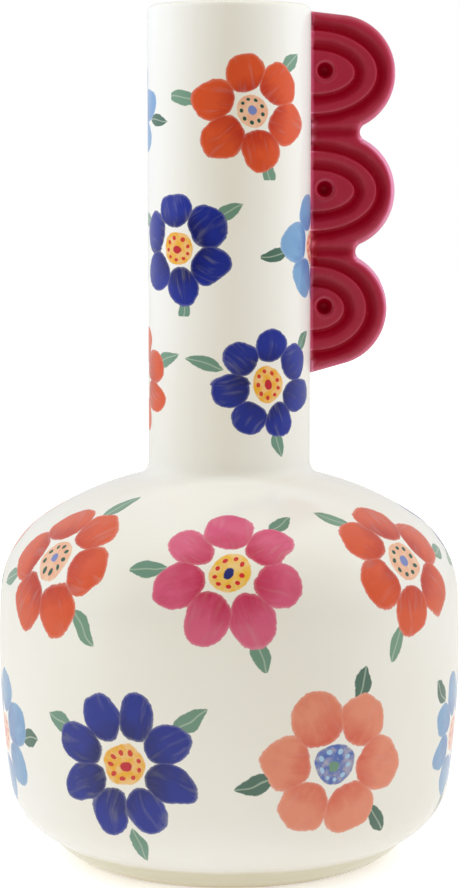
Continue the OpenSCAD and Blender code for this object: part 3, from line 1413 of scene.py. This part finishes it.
def surface_net(grid: np.ndarray, origin: list[float], step: float) -> tuple[np.ndarray, np.ndarray]:
    """Wraps quads round the part of a grid that is less than 0.

    Args:
        grid: Values at the grid's points.
        origin: The first point's place.
        step: The distance between points.

    Returns:
        The points, one in each cell that the surface crosses, and the quads that join them.
    """
    cells = tuple(n - 1 for n in grid.shape)
    corners = [(i, j, k) for i in (0, 1) for j in (0, 1) for k in (0, 1)]

    def at(corner: tuple[int, ...]) -> np.ndarray:
        """The values at one corner of every cell."""
        return grid[tuple(slice(c, c + n) for c, n in zip(corner, cells))]

    places = np.zeros(cells + (3,))
    count = np.zeros(cells)
    for a in corners:
        for axis in range(3):
            if a[axis]:
                continue
            b = tuple(c + (n == axis) for n, c in enumerate(a))
            low, high = at(a), at(b)
            cut = (low < 0) != (high < 0)
            share = np.where(cut, low / np.where(cut, low - high, 1.0), 0.0)
            for n in range(3):
                places[..., n] += np.where(cut, a[n] + (share if n == axis else 0.0), 0.0)
            count += cut
    used = count > 0
    number = np.full(cells, -1)
    number[used] = np.arange(int(used.sum()))
    points = np.argwhere(used) + places[used] / count[used][:, None]
    points = points * step + np.array(origin)
    inside = grid < 0
    quads = []
    for axis in range(3):
        u, v = (axis + 1) % 3, (axis + 2) % 3
        first = inside.take(range(cells[axis]), axis)
        second = inside.take(range(1, cells[axis] + 1), axis)
        for flip in (False, True):
            edges = np.argwhere((second & ~first) if flip else (first & ~second))
            keep = (edges[:, u] > 0) & (edges[:, v] > 0) & (edges[:, u] < cells[u]) & (edges[:, v] < cells[v])
            edges = edges[keep]
            ring = []
            for du, dv in ((1, 1), (0, 1), (0, 0), (1, 0)):
                cell = edges.copy()
                cell[:, u] -= du
                cell[:, v] -= dv
                ring.append(number[tuple(cell.T)])
            quads.append(np.stack(ring[::-1] if flip else ring, axis=1))
    return points, np.concatenate(quads)


def weld(mesh: bpy.types.Mesh, gap: float) -> None:
    """Joins a mesh's points that lie on each other, so that no face is without area.

    Args:
        mesh: The mesh to change.
        gap: The greatest distance between points that are joined.
    """
    work = bmesh.new()
    work.from_mesh(mesh)
    bmesh.ops.remove_doubles(work, verts=work.verts, dist=gap)
    bmesh.ops.dissolve_degenerate(work, edges=work.edges, dist=gap)
    work.to_mesh(mesh)
    work.free()
    mesh.update()


@dataclass(frozen=True)
class GlazeRunAndHighlights:
    """How the coloured glaze runs over the fin: 0 where it pools and 1 where it breaks over an edge or is
    painted as a highlight.

    Ridges facing out and down, the rim and the root are painted lighter as highlights. The rim's highlight
    strengths and ends have one value for each lobe, from the top down.
    """

    face: float = 0.54
    pool: float = 0.42
    deepest: float = 1.3
    # Painted highlight along the fin's root at the neck, and how far from the neck it reaches.
    root: float = 0.25
    root_highlight_reach: Point = (0.0014, 0.0004)
    bend_step: float = 0.0008
    bend_most: float = 1500.0
    bend_full: float = 9000.0
    # Strength, facing and least share of the painted highlight on sharp ridges, lighter where they face out
    # and down.
    crest_highlight: float = 0.8
    crest_highlight_facing: tuple[float, float, float] = (0.4, 0.8, -1.5)
    crest_highlight_least: float = 0.1
    # Painted highlight along the rim: its strength and its end for each lobe, and how it grows where the rim
    # faces up.
    rim_highlight_strengths: tuple[float, ...] = (0.36, 0.50, 0.40)
    rim_highlight_ends: tuple[float, ...] = (0.58, 0.80, 0.64)
    rim_highlight_facing: Point = (0.9, 0.35)
    rim_width: float = 1.4
    rim_fade: float = 2.0
    # Strength of the painted rim highlight at the top edge.
    top_highlight: float = 0.06
    arris_start: float = 0.96
    side_least: float = 0.2
    side_turn: float = 0.4


@dataclass
class ScallopedFin:
    """The press-moulded slab of lobes, with arched grooves, valleys and pits on both faces.

    The reaches and the grooves have one entry for each lobe, from the top down. A groove is an oval's half
    width and half height. A pit's floor and its raised rim are given in its radii.
    """

    neck: Neck
    lobe_radius: float = 0.0202
    pitch: float = 0.0412
    reaches: tuple[float, ...] = (0.0300, 0.0300, 0.0274)
    top_drop: float = 0.0232
    top_splay: float = 6.0
    low_splay: float = 15.0
    thickness: float = 0.012
    rounding: float = 0.0038
    notch_radius: float = 0.0030
    groove_start: float = 0.0006
    grooves: tuple[tuple[Point, ...], ...] = (
        ((0.0229, 0.0150), (0.0150, 0.0083)),
        ((0.0229, 0.0146), (0.0150, 0.0079)),
        ((0.0195, 0.0154), (0.0116, 0.0082)),
    )
    groove_wall: float = 0.0013
    groove_slope: float = 0.0042
    groove_depth: float = 0.0009
    valley_half: float = 0.0032
    valley_depth: float = 0.00045
    valley_run: float = 0.009
    pit_offset: float = 0.0044
    pit_rise: float = 0.0007
    pit_radius: float = 0.0034
    pit_depth: float = 0.0028
    pit_floor: float = 0.2
    pit_rim: float = 0.0002
    rim_middle: float = 1.12
    rim_half: float = 0.22
    root_depth: float = 0.0004
    voxel: float = 0.00042
    net_margin: int = 5
    weld_share: float = 0.01
    draw_steps: int = 4
    draw_most: float = 0.0002
    draw_reach: float = 0.00005
    glaze: GlazeRunAndHighlights = GlazeRunAndHighlights()
    lobes: list[Point] = field(init=False)
    notches: list[Point] = field(init=False)
    corners: list[Point] = field(init=False)

    def __post_init__(self) -> None:
        """Places the lobes, the notches between them and the corners of the slab behind them."""
        top = self.neck.lip_height - self.top_drop
        axis = self.neck.radius - self.lobe_radius
        self.lobes = [(axis + reach, top - i * self.pitch) for i, reach in enumerate(self.reaches)]
        far = self.lobe_radius + self.notch_radius
        self.notches = [circles_meet(a, far, b, far) for a, b in zip(self.lobes, self.lobes[1:])]
        first, last = self.lobes[0], self.lobes[-1]
        self.corners = self.straight_edge(first, self.top_splay, 1)[::-1]
        for lobe, notch in zip(self.lobes, self.notches):
            self.corners += [lobe, notch]
        self.corners += [last] + self.straight_edge(last, self.low_splay, -1)

    def straight_edge(self, lobe: Point, splay: float, way: int) -> list[Point]:
        """Finds the slab's top or bottom edge, which runs from a lobe to the neck.

        Args:
            lobe: The lobe's middle.
            splay: How far the edge splays towards the neck, in degrees.
            way: 1 for the top edge, -1 for the bottom one.

        Returns:
            Where the lobe's round edge runs into it, and where it meets the neck.
        """
        start = offset(lobe, self.lobe_radius, way * (90.0 - splay))
        back = self.neck.radius - 2 * self.root_depth
        return [start, (back, start[1] + way * (start[0] - back) * math.tan(math.radians(splay)))]

    def outline(self, x: np.ndarray, z: np.ndarray) -> np.ndarray:
        """Distance from the slab's outline, less than 0 inside it.

        Args:
            x: Distances from the axis.
            z: Heights.

        Returns:
            The distances.
        """
        body = polygon_distance(x, z, self.corners)
        for cx, cz in self.notches:
            body = np.maximum(body, self.notch_radius - np.hypot(x - cx, z - cz))
        for cx, cz in self.lobes:
            body = np.minimum(body, np.hypot(x - cx, z - cz) - self.lobe_radius)
        return body

    def relief(self, x: np.ndarray, z: np.ndarray) -> np.ndarray:
        """How far the faces lie below the slab's full thickness.

        Args:
            x: Distances from the axis.
            z: Heights.

        Returns:
            The depths.
        """
        pit = self.pit_radius
        depth = np.zeros(np.broadcast(x, z).shape)
        rims = np.zeros_like(depth)
        start = self.neck.radius + self.groove_start
        for (_, cz), grooves in zip(self.lobes, self.grooves):
            for reach, half in grooves:
                away = oval_distance(x - start, z - cz, reach, half)
                wall, slope = soft_step(-away, self.groove_wall, 0.0), soft_step(away, self.groove_slope, 0.0)
                depth = np.maximum(depth, self.groove_depth * np.where(away < 0, wall, slope))
            hole = np.hypot(x - self.neck.radius - self.pit_offset, z - cz - self.pit_rise)
            depth = np.maximum(depth, self.pit_depth * soft_step(hole, pit, self.pit_floor * pit))
            rim = soft_step(np.abs(hole - self.rim_middle * pit), self.rim_half * pit, 0.0)
            rims = np.maximum(rims, self.pit_rim * rim)
        for cx, cz in self.notches:
            valley = soft_step(x, cx, cx - self.valley_run) * soft_step(np.abs(z - cz), self.valley_half, 0.0)
            depth = np.maximum(depth, self.valley_depth * valley)
        return depth - rims

    def shape(self, x: np.ndarray, y: np.ndarray, z: np.ndarray) -> np.ndarray:
        """A value that is 0 on the fin's surface and less than 0 inside it.

        Args:
            x: Places along the fin.
            y: Places across it.
            z: Heights.

        Returns:
            The values, about the distance from the surface.
        """
        r = self.rounding
        flat = self.outline(x, z) + r
        over = np.abs(y) - self.thickness / 2 + self.relief(x, z) + r
        corner = np.hypot(np.maximum(flat, 0.0), np.maximum(over, 0.0))
        slab = np.minimum(np.maximum(flat, over), 0.0) + corner - r
        return np.maximum(slab, self.neck.radius - self.root_depth - np.hypot(x, y))

    def slopes(self, points: np.ndarray, step: float) -> np.ndarray:
        """How the shape's value rises at points.

        Args:
            points: Where to look.
            step: How far to each side the slope is taken.

        Returns:
            The slopes.
        """
        ways = step * np.eye(3)
        rises = [self.shape(*(points + way).T) - self.shape(*(points - way).T) for way in ways]
        return np.stack(rises, axis=1) / (2 * step)

    def mesh_points(self) -> tuple[np.ndarray, np.ndarray]:
        """Wraps a net of quads round the fin and draws it onto the surface.

        Returns:
            The points and the quads.
        """
        low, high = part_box("scalloped_fin")
        edge = self.net_margin * self.voxel
        axes = [np.arange(low[i] - edge, high[i] + edge + self.voxel, self.voxel) for i in range(3)]
        grid = self.shape(axes[0][:, None, None], axes[1][None, :, None], axes[2][None, None, :])
        points, quads = surface_net(grid, [axis[0] for axis in axes], self.voxel)
        for _ in range(self.draw_steps):
            slope = self.slopes(points, self.draw_reach)
            steep = np.maximum((slope**2).sum(1), TINY)
            move = slope * (self.shape(*points.T) / steep)[:, None]
            points = points - np.clip(move, -self.draw_most, self.draw_most)
        return points, quads

    def bends(self, points: np.ndarray) -> np.ndarray:
        """How sharply the surface bends.

        Args:
            points: Points on the surface.

        Returns:
            One value for each point, more than 0 over an edge and less than 0 in a hollow.
        """
        step, most = self.glaze.bend_step, self.glaze.bend_most
        bend = -6 * self.shape(*points.T)
        for way in np.vstack([np.eye(3), -np.eye(3)]) * step:
            bend = bend + self.shape(*(points + way).T)
        return np.clip(bend / step**2, -most, most)

    def rims(self, points: np.ndarray, facing: np.ndarray) -> np.ndarray:
        """A painted highlight along the arris between the faces and the outline's edge, stronger where it
        faces up and on the middle lobe.

        Args:
            points: Points on the surface.
            facing: The way that the surface faces there.

        Returns:
            One value for each point.
        """
        glaze = self.glaze
        x, _, z = points.T
        levels = [lobe[1] for lobe in self.lobes[::-1]]
        top = self.lobes[0][1] + self.lobe_radius
        highlight_strength = np.interp(z, levels + [top], glaze.rim_highlight_strengths[::-1] + (glaze.top_highlight,))
        light = glaze.rim_highlight_facing[0] + glaze.rim_highlight_facing[1] * facing[:, 2]
        near = soft_step(self.outline(x, z), -glaze.rim_width * self.rounding, -self.rounding)
        across = np.abs(facing[:, 1])
        turned = soft_step(across, glaze.arris_start, np.interp(z, levels, glaze.rim_highlight_ends[::-1]))
        side = glaze.side_least + (1.0 - glaze.side_least) * soft_step(across, 0.0, glaze.side_turn)
        return highlight_strength * light * near * turned * side

    def glaze_run_and_highlights(self, points: np.ndarray) -> np.ndarray:
        """How the glaze has run, with painted highlights: about 0 where it pools, 0.5 on flat faces and 1
        over a sharp edge.

        Args:
            points: Points on the surface.

        Returns:
            One value for each point.
        """
        glaze = self.glaze
        x, y, z = points.T
        on_face = np.abs(y) > self.thickness / 4
        depth = np.clip(self.relief(x, z) / self.groove_depth, 0.0, glaze.deepest) * on_face
        slope = self.slopes(points, 2 * self.draw_reach)
        facing = slope / np.linalg.norm(slope, axis=1)[:, None]
        # Sharp ridges that face out and down get a painted highlight; hollows darken where the glaze pools.
        plain, out, up = glaze.crest_highlight_facing
        light = np.clip(plain + out * facing[:, 0] + up * facing[:, 2], glaze.crest_highlight_least, 1.0)
        bend = self.bends(points)
        edge = np.where(bend > 0, glaze.crest_highlight * light * bend, bend) / glaze.bend_full
        # Painted highlight along the rim, faded where the grooves are deep.
        rim = self.rims(points, facing) * np.clip(1.0 - glaze.rim_fade * depth, 0.0, 1.0)
        # Painted highlight along the root, where the fin meets the neck; the pooling is left out there.
        far, close = glaze.root_highlight_reach
        root = soft_step(np.hypot(x, y), self.neck.radius + far, self.neck.radius + close)
        run = glaze.face + edge - glaze.pool * depth * (1.0 - root) + rim + glaze.root * root
        return np.clip(run, 0.0, 1.0)

    def build(self) -> None:
        """Makes, glazes and publishes the fin."""
        points, quads = self.mesh_points()
        finish = RaspberryGlaze()
        piece = finished_mesh("scalloped_handle", points.tolist(), quads.tolist(), [finish.build()])
        weld(piece.data, self.weld_share * self.voxel)
        points = np.array([vert.co for vert in piece.data.vertices])
        layer = piece.data.attributes.new(finish.attribute, "FLOAT", "POINT")
        layer.data.foreach_set("value", self.glaze_run_and_highlights(points).astype(np.float32))
        publish(piece, "scalloped_fin")


@dataclass
class SlipJoints:
    """The three layers of slip that lute the castings together, left as the solids make them."""

    nodes: tuple[str, ...] = ("neck_slip", "foot_slip", "fin_slip")

    def dress(self, solids: dict[str, bpy.types.Object]) -> None:
        """Gives each layer the dry slip's material.

        Args:
            solids: The frame's nodes by name.
        """
        finish = BareSlip().build()
        for name in self.nodes:
            solids[name].data.materials.clear()
            solids[name].data.materials.append(finish)
            LOG.info("%s: kept as solid, in %s", name, finish.name)


@dataclass(frozen=True)
class Lamp:
    """One softbox, at an angle to the right of the camera, pointed at a height on the vase's axis.

    The turn and the beam are in degrees, and the power is in watts.
    """

    name: str
    turn: float
    height: float
    away: float
    size: Point
    power: float
    aim: float
    tint: Colour
    beam: float = 180.0

    def hang(self, facing: float) -> None:
        """Hangs the lamp, unseen by the camera and in reflections.

        Args:
            facing: The angle about the axis that faces the camera, in radians.
        """
        data = bpy.data.lights.new(self.name, "AREA")
        data.shape = "RECTANGLE"
        data.size, data.size_y = self.size
        data.energy = self.power
        data.spread = math.radians(self.beam)
        data.color = self.tint[:3]
        lamp = bpy.data.objects.new(self.name, data)
        angle = facing + math.radians(self.turn)
        lamp.location = (math.cos(angle) * self.away, math.sin(angle) * self.away, self.height)
        back = lamp.location - Vector((0.0, 0.0, self.aim))
        lamp.rotation_euler = back.to_track_quat("Z", "Y").to_euler()
        lamp.visible_camera = False
        lamp.visible_glossy = False
        bpy.context.scene.collection.objects.link(lamp)


@dataclass
class Studio:
    """The camera, the soft lights, the white surround and the pale floor.

    The column and the rows are pixels of the photograph: the vase's axis, the top of its lip and its
    lowest edge. A run is where a tone starts to change and where it has changed.
    """

    neck: Neck
    foot: Foot
    azimuth: float = -8.0
    distance: float = 0.9
    eye_height: float = 0.235
    axis_column: float = 229.3
    top_row: float = -0.3
    bottom_row: float = 887.8
    sensor_mm: float = 36.0
    clip: Point = (0.05, 50.0)
    aim_steps: int = 20
    aim_gain: float = 0.05
    lamps: tuple[Lamp, ...] = (
        Lamp("left_strip", -90.0, 0.45, 0.45, (0.12, 0.30), 0.44, 0.30, srgb(201, 218, 255), 105.0),
        Lamp("right_strip", 90.0, 0.45, 0.45, (0.12, 0.30), 0.43, 0.30, srgb(226, 237, 255), 105.0),
        Lamp("left_softbox", -62.0, 0.42, 0.90, (0.25, 0.50), 1.28, 0.20, srgb(255, 255, 246)),
        Lamp("right_softbox", 62.0, 0.42, 0.90, (0.25, 0.50), 0.80, 0.20, srgb(239, 239, 255)),
        Lamp("top_softbox", 0.0, 1.40, 0.10, (1.0, 1.0), 4.6, 0.15, srgb(255, 245, 220)),
    )
    ambient: float = 0.39
    ambient_tint: Colour = srgb(255, 250, 227)
    side_run: Point = (-0.1, 0.75)
    mirrored_side: float = 0.8
    dark_run: Point = (0.05, 0.5)
    mirrored_floor: float = 0.42
    dark_side: float = 0.1
    white_run: Point = (0.10, 0.45)
    white_least: float = 0.5
    floor_tint: Colour = srgb(238, 238, 240)
    floor_rough: float = 0.8
    floor_glow: float = 0.26
    floor_rings: tuple[float, ...] = (0.2, 0.5, 1.2, 3.0, 6.0)
    floor_sides: int = 96
    floor_drop: float = 0.0002

    def facing(self) -> float:
        """The angle about the axis that faces the camera, in radians."""
        return math.radians(self.azimuth - 90.0)

    def place_camera(self) -> None:
        """Sets the camera so that the lip and the foot meet the top and the bottom of the picture."""
        lip = self.neck.radius - self.neck.wall / 2
        rise = math.atan2(self.neck.lip_height - self.eye_height, self.distance - lip)
        fall = math.atan2(-self.eye_height, self.distance - self.foot.radius)
        up = PHOTO_HEIGHT / 2 - self.top_row
        down = self.bottom_row - PHOTO_HEIGHT / 2
        pitch = (rise + fall) / 2
        for _ in range(self.aim_steps):
            ratio = math.tan(rise - pitch) / math.tan(pitch - fall)
            pitch += (ratio - up / down) * self.aim_gain
        focal = up / math.tan(rise - pitch)
        turn = math.radians(self.azimuth)
        yaw = math.atan((PHOTO_WIDTH / 2 - self.axis_column) / focal)
        data = bpy.data.cameras.new("camera")
        data.sensor_width = self.sensor_mm
        data.lens = focal / PHOTO_HEIGHT * self.sensor_mm
        data.clip_start, data.clip_end = self.clip
        camera = bpy.data.objects.new("camera", data)
        camera.location = (math.sin(turn) * self.distance, -math.cos(turn) * self.distance, self.eye_height)
        camera.rotation_euler = (math.pi / 2 + pitch, 0.0, turn - yaw)
        bpy.context.scene.collection.objects.link(camera)
        bpy.context.scene.camera = camera

    def white_surround(self) -> None:
        """Makes the world: white to the camera, pale in reflections, dark behind it, and a warm light."""
        world = bpy.data.worlds.new("surround")
        world.use_nodes = True
        # The surround differs from one kind of ray to another, so it isn't sampled as one lamp.
        world.cycles.sampling_method = "NONE"
        sheet = NodeSheet(world.node_tree)
        camera, mirrored, _ = sheet.rays()
        toward = sheet.add("ShaderNodeVectorMath", operation="DOT_PRODUCT")
        sheet.feed(toward.inputs[0], Flow(sheet, sheet.add("ShaderNodeTexCoord").outputs["Generated"]))
        sheet.feed(toward.inputs[1], (math.cos(self.facing()), math.sin(self.facing()), 0.0))
        front = Flow(sheet, toward.outputs["Value"])
        shade = sheet.fade(front, *self.side_run, self.mirrored_side, self.dark_side)
        seen = sheet.step("ShaderNodeBackground", WHITE, sheet.math("MAXIMUM", camera, mirrored * shade))
        light = sheet.step("ShaderNodeBackground", self.ambient_tint, self.ambient)
        shown = sheet.step("ShaderNodeMixShader", sheet.math("MAXIMUM", camera, mirrored), light, seen)
        sheet.feed(sheet.add("ShaderNodeOutputWorld").inputs[0], shown)
        bpy.context.scene.world = world

    def floor_paper(self) -> bpy.types.Material:
        """Makes the floor's finish: white further out, pale in reflections and dark towards the camera, and
        glowing a little onto the vase as light from below.

        Returns:
            The material.
        """
        sheet = FinishSheet("floor_paper")
        camera, mirrored, diffuse = sheet.rays()
        x, y, _ = sheet.parts(sheet.place())
        front = x * math.cos(self.facing()) + y * math.sin(self.facing())
        white = sheet.fade(sheet.distance(x, y), *self.white_run, self.white_least)
        shade = sheet.fade(front, *self.dark_run, self.mirrored_floor, self.dark_side)
        glow = camera * white + mirrored * shade + diffuse * self.floor_glow
        sheet.set(Base_Color=self.floor_tint, Roughness=self.floor_rough)
        sheet.set(Emission_Color=WHITE, Emission_Strength=glow)
        return sheet.material

    def lay_floor(self) -> None:
        """Lays a round pale floor that takes the shadow."""
        count = self.floor_sides
        turns = [math.tau * i / count for i in range(count)]
        verts = [(r * math.cos(a), r * math.sin(a), 0.0) for r in self.floor_rings for a in turns]
        faces = [tuple(range(count))]
        for inner in range(0, len(verts) - count, count):
            outer = inner + count
            for i in range(count):
                j = (i + 1) % count
                faces.append((inner + i, outer + i, outer + j, inner + j))
        paper = finished_mesh("floor", verts, faces, [self.floor_paper()])
        paper.location.z = -self.floor_drop

    def build(self) -> None:
        """Sets up the whole studio."""
        bpy.context.scene.view_settings.view_transform = "Standard"
        self.place_camera()
        for lamp in self.lamps:
            lamp.hang(self.facing())
        self.white_surround()
        self.lay_floor()


def main() -> None:
    """Builds the vase piece by piece, dresses it and sets up the studio."""
    logging.basicConfig(level=logging.INFO, format="%(name)s: %(message)s")
    low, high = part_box("belly_shell")
    foot_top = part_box("foot_base")[1]
    belly = Belly(min(-low.x, -low.y, high.x, high.y))
    neck = Neck(belly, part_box("neck_tube")[1].z)
    foot = Foot(belly, foot_top.x, foot_top.z)
    studio = Studio(neck, foot)
    belly.build(studio.facing())
    neck.build(studio.facing())
    foot.build()
    ScallopedFin(neck).build()
    SlipJoints().dress(frame["nodes"])
    studio.build()


if __name__ == "__main__":
    main()
